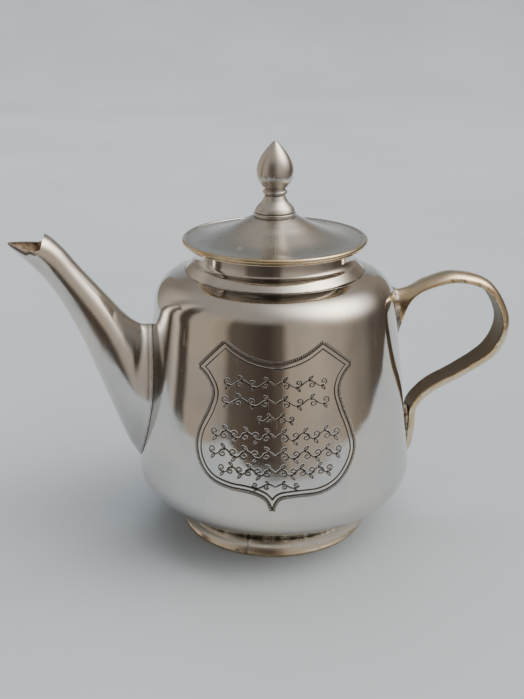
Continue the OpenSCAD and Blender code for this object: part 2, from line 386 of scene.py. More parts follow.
def aged_brass(name):
    """Brass with the last of the plate on it and brown tarnish."""
    n = Nodes(name)
    clouds = n.noise(n.place, 120.0, 5.0, 0.62, 0.5)
    fine = n.noise(n.place, 900.0, 4.0, 0.6)
    left = n.span(n.noise(n.place, 70.0, 5.0, 0.6), 0.5, 0.66)
    tone = n.mix(n.span(clouds, 0.35, 0.65), BRASS_PALE, BRASS_RAW)
    left = n.math("MAXIMUM", n.math("MULTIPLY", left, 0.5), n.mark("plate"))
    tone = n.mix(left, tone, SILVER_COOL)
    spots = n.math("MULTIPLY", n.span(fine, 0.58, 0.72), 0.55)
    tone = n.mix(n.math("MAXIMUM", spots, n.mark("dirt_and_shade")), tone, rgb(0.08, 0.05, 0.03))
    return n.finish(tone, n.span(clouds, 0.3, 0.7, 0.18, 0.336), n.bump(fine, 0.00002))


def dull_inside(name):
    """Unpolished metal with tea stains, for what is inside the pot and under it."""
    n = Nodes(name)
    clouds = n.noise(n.place, 60.0, 6.0, 0.65, 0.6)
    fine = n.noise(n.place, 700.0, 4.0, 0.6)
    tone = n.mix(n.span(clouds, 0.38, 0.66), rgb(0.42, 0.38, 0.32), rgb(0.20, 0.145, 0.095))
    tone = n.mix(n.span(fine, 0.6, 0.75), tone, rgb(0.07, 0.05, 0.035))
    return n.finish(tone, n.span(fine, 0.3, 0.7, 0.32, 0.55), n.bump(fine, 0.00004))


def spout_lining(name):
    """The mottled tan deposit inside the spout's lip."""
    n = Nodes(name)
    clouds = n.noise(n.place, 420.0, 5.0, 0.65, 0.6)
    fine = n.noise(n.place, 1500.0, 4.0, 0.6)
    tone = n.mix(n.span(clouds, 0.35, 0.62), rgb(0.50, 0.40, 0.28), rgb(0.17, 0.11, 0.065))
    tone = n.mix(n.span(fine, 0.56, 0.7), tone, rgb(0.62, 0.56, 0.46))
    return n.finish(tone, n.span(fine, 0.3, 0.7, 0.4, 0.62), n.bump(clouds, 0.00012), 0.7)


body_metal = worn_silver("body_metal", 0.055, rough=0.085, brushing=0.3, tarnish=0.12)
neck_metal = worn_silver("neck_metal", 0.033, rough=0.08, brushing=0.5, tarnish=0.15, worn=0.05)
lid_metal = worn_silver("lid_metal", 0.02, rough=0.24, brushing=0.6, tarnish=0.22, worn=0.06)
spout_metal = worn_silver("spout_metal", 0.08, rough=0.19, brushing=0.2, tarnish=0.18, worn=0.08)
foot_metal = worn_silver("foot_metal", 0.038, rough=0.22, brushing=0.4, tarnish=0.3, worn=0.3,
                         tones=(WARM, SILVER))
turned_metal = worn_silver("turned_metal", 0.006, rough=0.29, brushing=0.8, tarnish=0.1, worn=0.06)
handle_metal = worn_silver("handle_metal", 0.08, rough=0.2, brushing=0.1, tarnish=0.22, worn=0.2,
                           tones=(GOLDEN, WARM))
wire_metal = aged_brass("wire_metal")
solder_metal = soft_solder("solder_metal")
inside_metal = dull_inside("inside_metal")
lip_lining = spout_lining("lip_lining")

# ---- body ----

SHEET = 0.9
BOTTOM_R, BOTTOM_Z = 37.2, 6.9
NECK_R, NECK_Z = 31.2, 112.6
CORNER, CORNER_ROUND = np.array([45.0, 28.0]), 12.5
SHOULDER, SHOULDER_ROUND = np.array([36.2, 97.0]), 13.0


def direction(vector):
    return math.degrees(math.atan2(vector[1], vector[0]))


def touch(centre, radius, point, side):
    """The angle at which a line from point touches the circle about centre."""
    away = np.array(point) - centre
    return direction(away) + side * math.degrees(math.acos(radius / np.hypot(*away)))


across_wall = SHOULDER - CORNER
WALL_ANGLE = direction(across_wall) - math.degrees(
    math.acos((CORNER_ROUND - SHOULDER_ROUND) / np.hypot(*across_wall)))
BOTTOM_ANGLE = touch(CORNER, CORNER_ROUND, (BOTTOM_R, BOTTOM_Z), 1)
TOP_ANGLE = touch(SHOULDER, SHOULDER_ROUND, (NECK_R, NECK_Z), -1)


def body_outline(inset=0.0):
    """The body's outline from the bottom corner to the shoulder, moved inwards by inset."""
    return np.vstack([arc(CORNER, CORNER_ROUND - inset, BOTTOM_ANGLE, WALL_ANGLE, 80),
                      arc(SHOULDER, SHOULDER_ROUND - inset, WALL_ANGLE, TOP_ANGLE, 80)])


outer_line = body_outline()


def body_radius(height):
    """The outer radius of the body at a height."""
    return np.interp(height, outer_line[:, 1], outer_line[:, 0])


# The engraved shield. Its points are mm across from its middle line, and the height.
SHIELD_AZIMUTH = -98.0
SHIELD_SIDES = [
    [(-19.2, 95), (-9.6, 89.9), (0.8, 88), (10, 90.1), (17.8, 94.8)],
    [(17.8, 94.8), (29.9, 85.6)],
    [(29.9, 85.6), (26, 82), (24.3, 76.4), (26.2, 69.6), (30, 60.6), (31.6, 53), (29.4, 46.4),
     (24.6, 40.9), (17.6, 38), (8.4, 37.6), (2.2, 36.9), (-0.2, 34.6), (-1.2, 31.8)],
    [(-1.2, 31.8), (-2.4, 35), (-5, 37.5), (-10.6, 39.2), (-18, 39.9), (-24.9, 42),
     (-29.4, 46.6), (-31.3, 53), (-30.2, 60), (-25.7, 69), (-23.6, 76), (-26.4, 81.8),
     (-30, 84.5)],
    [(-30, 84.5), (-19.2, 95)]]
LINE_GAP = 1.55
TICK_PITCH = 0.8
TICK_LENGTH, TICK_LEAN = 0.85, 0.3
ENGRAVED_DEPTH = 0.11
# Widths of the strokes: the two lines, the ticks, and the stems, curls and leaves
INNER_LINE, OUTER_LINE, TICK = 0.62, 0.56, 0.46
STEM, CURL, LEAF = 0.5, 0.42, 0.4


def shield_line(inset):
    """The shield's closed outline, moved inwards by inset."""
    line = np.vstack([curve(side, 14)[:-1] for side in SHIELD_SIDES])
    before, after = np.roll(line, 1, 0), np.roll(line, -1, 0)
    into, out = line - before, after - line
    into /= np.hypot(*into.T)[:, None]
    out /= np.hypot(*out.T)[:, None]
    side_in = np.stack([into[:, 1], -into[:, 0]], -1)
    side_out = np.stack([out[:, 1], -out[:, 0]], -1)
    middle = side_in + side_out
    middle /= np.hypot(*middle.T)[:, None]
    reach = inset / np.clip((middle * side_in).sum(1), 0.45, 1)
    moved = line + middle * reach[:, None]
    if inset > 0:
        apart = moved[:, None, :] - line[None, :, :]
        moved = moved[np.hypot(apart[..., 0], apart[..., 1]).min(1) > 0.94 * inset]
    return np.vstack([moved, moved[:1]])


def spaced(line, step):
    """Points and directions at an even spacing along a line."""
    run = np.concatenate([[0], np.cumsum(np.hypot(*np.diff(line, axis=0).T))])
    at = np.arange(0, run[-1], step)
    points = np.stack([np.interp(at, run, line[:, k]) for k in (0, 1)], -1)
    ahead = np.stack([np.interp(at + 0.05, run, line[:, k]) for k in (0, 1)], -1) - points
    length = np.maximum(np.hypot(*ahead.T), 1e-9)
    return points, ahead / length[:, None]


def spiral(x, z, size, side):
    """A curl that winds in to (x, z), from above and clockwise when side is 1."""
    t = np.linspace(0, 1, 26)
    angle = side * (math.radians(120) - 1.3 * 2 * math.pi * t)
    radius = size * (1 - 0.82 * t)
    return np.stack([x + radius * np.cos(angle), z + radius * np.sin(angle)], -1)


def leaf(x, z, length, lean):
    """The two edges of a small pointed leaf."""
    t = np.linspace(0, 1, 12)
    lean = math.radians(lean)
    edges = []
    for belly in (0.26, -0.1):
        u, v = length * t, length * belly * np.sin(math.pi * t)
        edges.append(np.stack([x + u * math.cos(lean) - v * math.sin(lean),
                               z + u * math.sin(lean) + v * math.cos(lean)], -1))
    return edges


# Rows of scrollwork inside the shield: height, half length, height of a scroll
SCROLL_ROWS = [(80.4, 19.5, 4.2), (73.4, 20.5, 4.4), (67.2, 6.5, 3.2), (60.4, 24.5, 4.8),
               (53.2, 25.5, 4.8), (46.6, 21.5, 4.4), (41.2, 9.0, 3.2)]


def scroll_row(height, half, size):
    """Strokes of one mirrored row: a waving stem with curls and leaves, as (line, width) pairs."""
    strokes = []
    pitch = 1.9 * size
    count = max(1, round(half / pitch))
    pitch = half / count
    x = np.linspace(0.3, half, 20 * count)
    stem = np.stack([x, height + 0.28 * size * np.sin(2 * math.pi * (x - 0.3) / pitch)], -1)
    strokes.append((stem, STEM))
    for k in range(count):
        left = 0.3 + k * pitch
        for part, shift, side in ((0.25, 0.22, 1), (0.75, 0.2, -1)):
            x = left + part * pitch
            curl = spiral(x + shift * size, height - side * 0.1 * size, 0.34 * size, side)
            strokes.append((curl, CURL))
            strokes += [(edge, LEAF) for edge in
                        leaf(x, height + side * 0.3 * size, 0.5 * size, side * 48)]
    mirrored = [(line * [-1, 1], width) for line, width in strokes]
    return strokes + mirrored


def engraving():
    """Every engraved stroke as a line of (across, height) points and a width."""
    strokes = [(shield_line(LINE_GAP), INNER_LINE), (shield_line(0.0), OUTER_LINE)]
    points, ahead = spaced(shield_line(-0.12), TICK_PITCH)
    for p, d in zip(points, ahead):
        outwards = np.array([-d[1], d[0]])
        strokes.append((np.stack([p, p + TICK_LENGTH * outwards + TICK_LEAN * d]), TICK))
    for height, half, size in SCROLL_ROWS:
        strokes += scroll_row(height, half, size)
    return strokes


def cut_strokes(azimuth, height, strokes):
    """How deep the engraving is at each point of a grid, from 0 to 1."""
    depth = np.zeros((len(height), len(azimuth)))
    middle = math.radians(SHIELD_AZIMUTH)
    for line, width in strokes:
        count = len(line) - 1
        for k in range(count):
            swell = 0.72 + 0.28 * math.sin(math.pi * (k + 0.5) / count) if count > 3 else 1.0
            p, q = line[k], line[k + 1]
            half = 0.5 * width * swell
            low, high = np.minimum(p, q) - half, np.maximum(p, q) + half
            rows = slice(*np.searchsorted(height, (low[1], high[1])))
            radius = body_radius(0.5 * (p[1] + q[1]))
            cols = slice(*np.searchsorted(azimuth, (middle + low[0] / radius - 0.004,
                                                    middle + high[0] / radius + 0.004)))
            z = height[rows][:, None]
            x = (azimuth[cols][None, :] - middle) * body_radius(z)
            run = q - p
            t = np.clip(((x - p[0]) * run[0] + (z - p[1]) * run[1]) / max(run @ run, 1e-9), 0, 1)
            far = np.hypot(x - p[0] - t * run[0], z - p[1] - t * run[1])
            cut = np.clip(1.25 * (1 - (far / half) ** 2), 0, 1)
            depth[rows, cols] = np.maximum(depth[rows, cols], cut)
    return depth


FINE_STEP = 0.17
COARSE_STEP = 1.6
FINE_HEIGHTS = (30.8, 96.6)
FINE_REACH = 33.5


def stations(stops, steps):
    """Numbers from the first stop to the last, at a step of its own between each two."""
    made = [np.linspace(a, b, max(2, round((b - a) / step)), endpoint=False)
            for a, b, step in zip(stops[:-1], stops[1:], steps)]
    return np.concatenate(made + [[stops[-1]]])


def body_columns():
    """Azimuths round the body, close together over the engraving. They start at the spout."""
    reach = FINE_REACH / body_radius(70.0)
    middle = math.radians(SHIELD_AZIMUTH)
    start = -math.pi
    fine = FINE_STEP / body_radius(70.0)
    coarse = COARSE_STEP / body_radius(70.0)
    stops = (start, middle - reach, middle + reach, start + 2 * math.pi)
    return stations(stops, (coarse, fine, coarse))[:-1]


DENTS = [(-62, 88, 16, 0.22), (-128, 66, 20, 0.2), (-84, 58, 26, 0.16), (-40, 60, 22, 0.25),
         (60, 70, 24, 0.3), (130, 50, 20, 0.25), (100, 88, 14, 0.2), (-92, 34, 18, 0.15)]


def make_body():
    azimuth = body_columns()
    run = np.concatenate([[0], np.cumsum(np.hypot(*np.diff(outer_line, axis=0).T))])
    fine_from, fine_to = np.interp(FINE_HEIGHTS, outer_line[:, 1], run)
    at = stations((0, fine_from, fine_to, run[-1]), (0.9, FINE_STEP, 0.9))
    outer = np.stack([np.interp(at, run, outer_line[:, k]) for k in (0, 1)], -1)
    slope = np.gradient(outer, axis=0)
    slope /= np.hypot(*slope.T)[:, None]
    outwards = np.stack([slope[:, 1], -slope[:, 0]], -1)

    cut = cut_strokes(azimuth, outer[:, 1], engraving())
    angle, z = azimuth[None, :], outer[:, 1:2]
    inwards = 0.26 * waves(angle, z, 5) + 0.05 * waves(angle, 5 * z, 6, 9, 14)
    for where, height, size, deep in DENTS:
        inwards = inwards + deep * bump_at(angle, z, outer[:, :1], where, height, size)
    ends = np.clip(np.minimum(z - BOTTOM_Z, NECK_Z - z) / 6, 0, 1)
    inwards = inwards * ends + ENGRAVED_DEPTH * cut
    radius = outer[:, :1] - inwards * outwards[:, :1]
    height = outer[:, 1:2] - inwards * outwards[:, 1:2]

    tan_top = math.tan(math.radians(TOP_ANGLE - 90))
    neck_in = NECK_R - SHEET
    edge_z = NECK_Z - SHEET * tan_top
    fold_r = BOTTOM_R - 2.7
    inner_line = body_outline(SHEET)[::-1]
    inside = dense(np.vstack([
        [[NECK_R, NECK_Z], [neck_in, edge_z], [neck_in, edge_z - SHEET]], inner_line[::4],
        [[BOTTOM_R - 0.4, BOTTOM_Z + SHEET], [fold_r, BOTTOM_Z + SHEET], [fold_r, BOTTOM_Z],
         [BOTTOM_R, BOTTOM_Z]]]), 2.2, closed=False)
    radius = np.vstack([radius, np.repeat(inside[:, :1], len(azimuth), 1)])
    height = np.vstack([height, np.repeat(inside[:, 1:], len(azimuth), 1)])
    points = np.stack([radius * np.cos(angle), radius * np.sin(angle), height], -1)
    rows, cols = radius.shape
    # painted shade along the bottom fold where the body meets the foot, and a broad darker patch
    # round the spout's root
    shade_and_grime = 0.9 * np.exp(-(z - BOTTOM_Z) / 1.3)
    shade_and_grime = shade_and_grime + 0.25 * bump_at(angle, z, outer[:, :1], -180, 60, 60)
    within = np.repeat((np.arange(len(inside)) > 1)[:, None] * 1.0, cols, 1)
    marks = {"groove_and_shade": np.vstack([np.clip(2.2 * cut, 0, 1), np.zeros((len(inside), cols))]),
             "dirt_and_shade": np.vstack([np.clip(shade_and_grime, 0, 1), np.zeros((len(inside), cols))]),
             "lining": np.vstack([np.zeros_like(cut), within])}
    body = mesh_object("body_engraved", points.reshape(-1, 3),
                       grid_faces(rows, cols, True, True), body_metal, 50, marks=marks)
    body.data.materials.append(inside_metal)
    return body


HOLE_D, HOLE_PITCH, HOLES_Z = 3.2, 5.2, 62.0


def strainer_cutter():
    """Round pegs where the strainer's holes are, joined in one mesh."""
    work = bmesh.new()
    for row in range(-2, 3):
        shift = 0 if row % 2 == 0 else HOLE_PITCH / 2
        for col in (-1, 0, 1) if row % 2 == 0 else (-1, 0):
            made = bmesh.ops.create_cone(work, cap_ends=True, segments=40, depth=20 * MM,
                                         radius1=HOLE_D / 2 * MM, radius2=HOLE_D / 2 * MM)
            turn = [[0, 0, 1], [0, 1, 0], [-1, 0, 0]]
            place = np.array([-55.0, col * HOLE_PITCH + shift, HOLES_Z + row * HOLE_PITCH * 0.87])
            for v in made["verts"]:
                v.co = np.array(turn) @ np.array(v.co) + place * MM
    mesh = bpy.data.meshes.new("strainer_cutter")
    work.to_mesh(mesh)
    work.free()
    made = bpy.data.objects.new("strainer_cutter", mesh)
    bpy.context.scene.collection.objects.link(made)
    return made


def apply_modifiers(obj):
    """obj with its modifiers made part of its mesh."""
    graph = bpy.context.evaluated_depsgraph_get()
    fixed = bpy.data.meshes.new_from_object(obj.evaluated_get(graph))
    obj.modifiers.clear()
    obj.data = fixed


def paint_inside(obj):
    """Gives the faces that are marked as lining the object's second material."""
    values = np.zeros(len(obj.data.vertices))
    obj.data.attributes["lining"].data.foreach_get("value", values)
    for face in obj.data.polygons:
        if all(values[v] > 0.5 for v in face.vertices):
            face.material_index = 1


body = make_body()
cutter = strainer_cutter()
holes = body.modifiers.new("holes", "BOOLEAN")
holes.object = cutter
holes.operation = "DIFFERENCE"
holes.solver = "MANIFOLD"
apply_modifiers(body)
bpy.data.objects.remove(cutter)
paint_inside(body)
body.data.set_sharp_from_angle(angle=math.radians(50))
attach(body, "pot")
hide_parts("body_shell")

# ---- neck and lip ----

LIP_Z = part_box("neck_lip")[0].z / MM
LIP_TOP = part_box("neck_lip")[1].z / MM
LIP_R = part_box("neck_lip")[1].x / MM
FLARE_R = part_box("neck_collar")[1].x / MM
FLARE_SLOPE = math.tan(math.radians(TOP_ANGLE - 90))
FLARE_Z = NECK_Z + (FLARE_R - NECK_R) * FLARE_SLOPE


def neck_outline():
    neck_in = NECK_R - SHEET
    fillet = arc((NECK_R + 3, NECK_Z + 4.4), 3, 250, 180, 14)
    outside = rounded([(FLARE_R, FLARE_Z + 0.02, 0.15), (FLARE_R, FLARE_Z + 0.5, 0.3)])
    under = [(NECK_R, NECK_Z + 0.02), (neck_in, NECK_Z - SHEET * FLARE_SLOPE + 0.02)]
    line = np.vstack([under[::-1], outside, fillet, [(NECK_R, LIP_Z), (neck_in, LIP_Z)]])
    return dense(line, 0.9)


def uneven_neck(azimuth, radius, height):
    """A spun neck that is a little out of round, with its flare lifted in one place."""
    inwards = 0.16 * waves(azimuth, height, 21, 6, 4) * np.clip((LIP_Z - height) / 3, 0, 1)
    out_edge = np.clip((radius - NECK_R - 2.6) / 2.6, 0, 1)
    lifted = 0.35 * out_edge * bump_at(azimuth, height, radius, -53, 111, 16)
    return radius - inwards, height + lifted


# Painted shade on the neck just under the lip, and a darker line along the flare's edge.
def neck_shade_and_edge(azimuth, radius, height):
    edge = np.exp(-((radius - FLARE_R) / 0.3) ** 2) * 0.3
    top = 0.7 * np.exp(-(LIP_Z - height) / 0.6) * (radius > NECK_R - 0.3)
    return np.clip(edge + top, 0, 1)


neck = revolve("neck_spun", neck_outline(), neck_metal, 320, shape=uneven_neck,
               marks={"dirt_and_shade": neck_shade_and_edge})
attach(neck, "pot")
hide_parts("neck_collar")

lip_line = dense(rounded([(NECK_R - SHEET, LIP_Z, 0.2), (LIP_R, LIP_Z, 0.42),
                          (LIP_R, LIP_TOP, 0.42), (NECK_R - SHEET, LIP_TOP, 0.25)], 6), 0.8)
lip = revolve("neck_lip_rolled", lip_line, neck_metal, 320,
              marks={"worn": lambda a, r, h: np.clip((r - LIP_R + 1.2) / 1.2, 0, 1)})
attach(lip, "pot")
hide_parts("neck_lip")

# ---- foot ----

FOOT_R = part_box("foot_ring")[1].x / MM
FOOT_RIM = 1.4
LAP_AZIMUTH = -115.0


def foot_outline():
    skirt = curve([(BOTTOM_R - 0.75, BOTTOM_Z), (BOTTOM_R + 0.1, 6.1), (FOOT_R - 1.4, 5.0),
                   (FOOT_R - 1.05, 3.5), (FOOT_R - 0.5, 1.9), (FOOT_R - 0.02, 0.95)], 6)
    inner = curve([(FOOT_R - FOOT_RIM, 0.12), (FOOT_R - 1.8, 2), (FOOT_R - 2.3, 3.8),
                   (FOOT_R - 2.9, 5.6), (BOTTOM_R - 2, BOTTOM_Z)], 4)
    rim = [(FOOT_R, 0.75), (FOOT_R, 0.3), (FOOT_R - 0.12, 0.08), (FOOT_R - 0.35, 0),
           (FOOT_R - FOOT_RIM + 0.15, 0)]
    return dense(np.vstack([skirt, rim, inner]), 0.7)


def uneven_foot(azimuth, radius, height):
    """A skirt bent from strip: slightly flat in places, with a lap where its ends meet."""
    turn = np.mod(azimuth - math.radians(LAP_AZIMUTH), 2 * math.pi)
    step = 0.32 * np.exp(-turn * 9)
    low = np.clip(height / 2, 0, 1) * np.clip((BOTTOM_Z - height) / 1.5, 0, 1)
    facets = 0.03 * (0.5 + 0.5 * np.sin(19 * azimuth + 2 * np.sin(3 * azimuth)))
    sagging = 0.16 * waves(azimuth, height, 33, 7, 9)
    return radius - low * (step + facets + sagging), height


# Painted shade at the top of the skirt, under the body's overhang, and real grime along the lap
# seam.
def foot_shade_and_lap(azimuth, radius, height):
    shade_under_body = 1.3 * np.exp(-(BOTTOM_Z - height) / 1.1)
    turn = np.mod(azimuth - math.radians(LAP_AZIMUTH) + 0.02, 2 * math.pi)
    return np.clip(shade_under_body + 0.8 * np.exp(-((turn - 0.02) / 0.012) ** 2), 0, 1)


foot = revolve("foot_skirt", foot_outline(), foot_metal, 420, shape=uneven_foot,
               marks={"dirt_and_shade": foot_shade_and_lap,
                      "worn": lambda a, r, h: np.clip(1.15 - h / 1.9, 0, 1)})
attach(foot, "pot")
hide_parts("foot_ring")


def solder_blobs():
    """Small drops of solder along the foot's bottom edge."""
    points, faces = [], []
    for at, size in ((-121, 0.9), (-118.5, 0.6), (-84, 0.7), (-70, 0.8), (-66.5, 0.5), (-45, 0.9),
                     (35, 0.8), (120, 0.7), (168, 0.6)):
        turn = math.radians(at)
        middle = np.array([(FOOT_R - 0.55) * math.cos(turn), (FOOT_R - 0.55) * math.sin(turn), 1.0])
        rows, cols = 9, 14
        up = np.linspace(0, math.pi, rows)[:, None]
        round_ = np.linspace(0, 2 * math.pi, cols, endpoint=False)[None, :]
        lump = 1 + 0.18 * np.sin(3 * round_ + at) * np.sin(up)
        ball = np.stack([0.55 * np.sin(up) * np.cos(round_) * lump,
                         1.3 * np.sin(up) * np.sin(round_) * lump,
                         0.8 * np.cos(up) * np.ones_like(round_)], -1) * size
        c, s = math.cos(turn), math.sin(turn)
        turned = ball @ np.array([[c, s, 0], [-s, c, 0], [0, 0, 1]]) + middle
        faces.append(grid_faces(rows, cols, False, True) + len(points) * rows * cols)
        points.append(turned.reshape(-1, 3))
    made = mesh_object("foot_solder_drops", np.vstack(points), np.vstack(faces), solder_metal)
    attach(made, "pot")


solder_blobs()

# ---- spout ----

# Each row is one station: keel x and z, ridge x and z, half width, roundness of the section
SPOUT_ROWS = np.array([
    [-54.5, 28, -45, 88.5, 13.5, 1.6],
    [-60.5, 36.5, -53.4, 89.2, 14.4, 1.6],
    [-65.2, 48.4, -56, 90.2, 14.2, 1.7],
    [-69.3, 60, -58.8, 92.2, 13.2, 1.8],
    [-72.8, 70, -61.6, 95, 11.8, 1.9],
    [-75.8, 78.5, -64.4, 98.4, 10.4, 2],
    [-79, 87, -67.4, 102, 9.2, 2],
    [-82.4, 94.4, -70.8, 106.1, 8.2, 2],
    [-85.6, 100.9, -74.4, 110.4, 7.5, 2],
    [-89.2, 107, -78.6, 115.6, 7, 2],
    [-92.2, 111.2, -83, 121.4, 6.8, 2],
    [-93.6, 112.9, -87.1, 125.7, 7.1, 2],
    [-94.6, 114.2, -90.1, 127.9, 7.6, 2]])
# Each row of the lip: keel x and z, middle x and z, half width, angle where its rim is
LIP_ROWS = np.array([
    [-94.6, 114.2, -92.35, 121.05, 7.6, 18.75],
    [-95.5, 115.3, -93.8, 121.85, 8.0, 8],
    [-97.2, 117, -96.5, 122.95, 7.7, 0],
    [-100.4, 120, -100.1, 123.8, 4.9, 0],
    [-102.8, 122.2, -102.6, 124.4, 2.2, 0],
    [-104.2, 123.9, -104.2, 124.8, 0.45, 0]])
SPOUT_WALL = 0.85
COLUMNS = 48
RIM_COLUMN = 29


def section(rows, angle, side, inset):
    """Points of the spout's skin at each row and angle; -90 is the keel and 90 the ridge."""
    keel, ridge = rows[..., 0:2], rows[..., 2:4]
    middle, half = (keel + ridge) / 2, np.hypot(*np.moveaxis(ridge - keel, -1, 0)) / 2
    up = (ridge - keel) / (2 * half[..., None])
    return around(middle, up, half, rows[..., 4], 2 / rows[..., 5], angle, side, inset)


def around(middle, up, half, width, power, angle, side, inset):
    deep = np.maximum(half - inset, 0.45 * half)
    wide = np.maximum(width - inset, 0.45 * width)
    s, c = np.sin(np.radians(angle)), np.cos(np.radians(angle))
    h = deep * np.sign(s) * np.abs(s) ** power
    y = side * wide * np.maximum(c, 0) ** power
    return np.stack([middle[..., 0] + up[..., 0] * h, y, middle[..., 1] + up[..., 1] * h], -1)


def start_on_wall(angle, side):
    """Where along the spout each column leaves the body's wall."""
    t = np.linspace(0, 4.5, 900)
    starts = []
    for a in angle:
        p = section(along(SPOUT_ROWS, t), a, side, 0.0)
        outside = np.hypot(p[:, 0], p[:, 1]) - body_radius(p[:, 2])
        starts.append(t[np.argmax(outside > 0)])
    return np.array(starts)


FLANGE_ROWS = (0, 0.004, 0.02, 0.035, 0.05, 0.07)


def spout_grid(side, inset):
    """The spout's skin as a grid: from the body to the hood's edge, then the lip below it."""
    angle = np.linspace(-90, 90, COLUMNS + 1)
    start = start_on_wall(angle, side)
    shared = 5.0
    root = np.concatenate([FLANGE_ROWS, np.linspace(0.1, 1, 34)])[:, None]
    t = start[None, :] + (shared - start[None, :]) * root
    hood = np.linspace(shared, len(SPOUT_ROWS) - 1, 92)[1:, None]
    t = np.vstack([t, np.repeat(hood, COLUMNS + 1, 1)])
    tube = section(along(SPOUT_ROWS, t), angle[None, :], side, inset)
    if inset == 0:
        centre = section(along(SPOUT_ROWS, t), angle[None, :], side, 3.0)
        outwards = tube - centre
        outwards /= np.linalg.norm(outwards, axis=-1, keepdims=True)
        proud = np.interp(np.arange(len(t)), [0, 2, 4, 5], [0.34, 0.34, 0.05, 0])
        tube = tube + outwards * proud[:, None, None] * (np.abs(angle) < 89.9)[None, :, None]
    v = np.linspace(0, 1, 44)[1:] ** 1.3 * (len(LIP_ROWS) - 1)
    rows = along(LIP_ROWS, v)[:, None, :]
    share = np.linspace(0, 1, RIM_COLUMN + 1)[None, :]
    keel, middle = rows[..., 0:2], rows[..., 2:4]
    half = np.hypot(*np.moveaxis(middle - keel, -1, 0))
    up = (middle - keel) / half[..., None]
    bent = -90 + share * (90 + rows[..., 5])
    lip_part = around(middle, up, half, rows[..., 4], 1.0, bent, side, inset)
    return tube, lip_part


def spout_half(name, side, node):
    """One stamping of the spout, as a closed shell."""
    points, index = [], []
    count = 0
    for inset in (0.0, SPOUT_WALL):
        tube, lip_part = spout_grid(side, inset)
        grid = np.full((len(tube) + len(lip_part), COLUMNS + 1), -1)
        for part, place in ((tube, grid[:len(tube)]),
                            (lip_part, grid[len(tube):, :RIM_COLUMN + 1])):
            place[...] = count + np.arange(part[..., 0].size).reshape(part.shape[:2])
            count += part[..., 0].size
            points.append(part.reshape(-1, 3))
        index.append(grid)
    faces = []
    for grid in index:
        cells = np.stack([grid[:-1, :-1], grid[:-1, 1:], grid[1:, 1:], grid[1:, :-1]], -1)
        cells = cells.reshape(-1, 4)
        faces.append(cells[(cells >= 0).all(1)])
    outer, inner = index
    twin = dict(zip(outer[outer >= 0].tolist(), inner[inner >= 0].tolist()))
    used = {}
    for cell in faces[0].tolist():
        for a, b in zip(cell, cell[1:] + cell[:1]):
            edge = (min(a, b), max(a, b))
            used[edge] = used.get(edge, 0) + 1
    rim = [(a, b, twin[b], twin[a]) for (a, b), times in used.items() if times == 1]
    faces.append(np.array(rim))
    points = np.vstack(points)
    lining, root, worn = np.zeros((3, len(points)))
    lining[inner[inner >= 0]] = 1.0
    # painted shade on the flange rows next to the body's wall
    root[outer[:2].ravel()] = 0.3
    worn[outer[len(tube) - 1, RIM_COLUMN:]] = 1.0
    made = mesh_object(name, points, np.vstack(faces), spout_metal, 40,
                       marks={"lining": lining, "dirt_and_shade": root, "worn": worn})
    made.data.materials.append(lip_lining)
    paint_inside(made)
    soften_rim(made)
    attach(made, "pot")
    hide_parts(node)


RIM_ROUNDING = 0.16


def soften_rim(obj):
    """Rounds the sharp edges that aren't on the seam between the two halves."""
    work = bmesh.new()
    work.from_mesh(obj.data)
    sharp = [e for e in work.edges if len(e.link_faces) == 2
             and e.calc_face_angle(0) > math.radians(55)
             and max(abs(v.co.y) for v in e.verts) > 0.02 * MM]
    bmesh.ops.bevel(work, geom=sharp, offset=RIM_ROUNDING * MM, segments=2, profile=0.5,
                    affect="EDGES", clamp_overlap=True)
    work.to_mesh(obj.data)
    work.free()
    smooth(obj.data, 40)


spout_half("spout_near_stamping", -1, "spout_near_half")
spout_half("spout_far_stamping", 1, "spout_far_half")


def wall_x(y, z):
    """How far the body's outside is from the plane x = 0, at y and z."""
    return np.sqrt(np.maximum(body_radius(z) ** 2 - y**2, 0))


def bead(name, node, here, further, side, climb, spread, seed, lumps, sunk, metal):
    """A lumpy bead of solder between the body's wall and what stands on it.

    here is the closed line where the two meet, and further the same line a little way up the
    standing part. The bead is climb high and spread wide, and starts sunk mm inside the wall.
    side is -1 where the spout is and 1 where the handle is.
    """
    up = further - here
    up *= climb / np.maximum(np.linalg.norm(up, axis=1, keepdims=True), 1e-6)
    out = here - here.mean(0)
    out[:, 0] = 0
    out *= spread / np.linalg.norm(out, axis=1, keepdims=True)
    out[:, 0] = side * wall_x(here[:, 1] + out[:, 1], here[:, 2] + out[:, 2]) - here[:, 0]
    inwards = np.array([-side * sunk, 0, 0])
    dice = np.random.default_rng(seed)
    count = len(here)
    t = np.linspace(0, 2 * math.pi, count, endpoint=False)
    uneven = np.ones(count)
    for turns in range(2, 13):
        uneven += lumps / turns**0.6 * np.sin(turns * t + dice.uniform(0, 6.3)) * 0.6
    uneven = np.clip(uneven, 0.45, 1.6)[:, None]
    rows = [here + inwards]
    for share in np.linspace(0, 1, 7):
        hollow = 1 - 0.32 * math.sin(math.pi * share)
        rows.append(here + uneven * hollow * (up * math.sin(share * math.pi / 2)
                                              + out * math.cos(share * math.pi / 2)))
    rows.append(here + 0.7 * up + inwards * 3)
    made = mesh_object(name, np.vstack(rows), grid_faces(len(rows), count, True, True), metal, 60)
    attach(made, "pot")
    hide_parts(node)


def spout_bead():
    """The solder round the spout's base: a thin line between the flange and the wall."""
    angle = np.linspace(-90, 90, 90)
    lines = []
    for rise in (0.0, 0.06):
        near, far = (section(along(SPOUT_ROWS, start_on_wall(angle, side) + rise), angle, side, 0.0)
                     for side in (-1, 1))
        lines.append(np.vstack([near, far[::-1][1:-1]]))
    bead("spout_joint", "spout_solder", *lines, -1, 0.35, 0.5, 3, 0.08, 0.2, spout_metal)


spout_bead()

# ---- handle ----

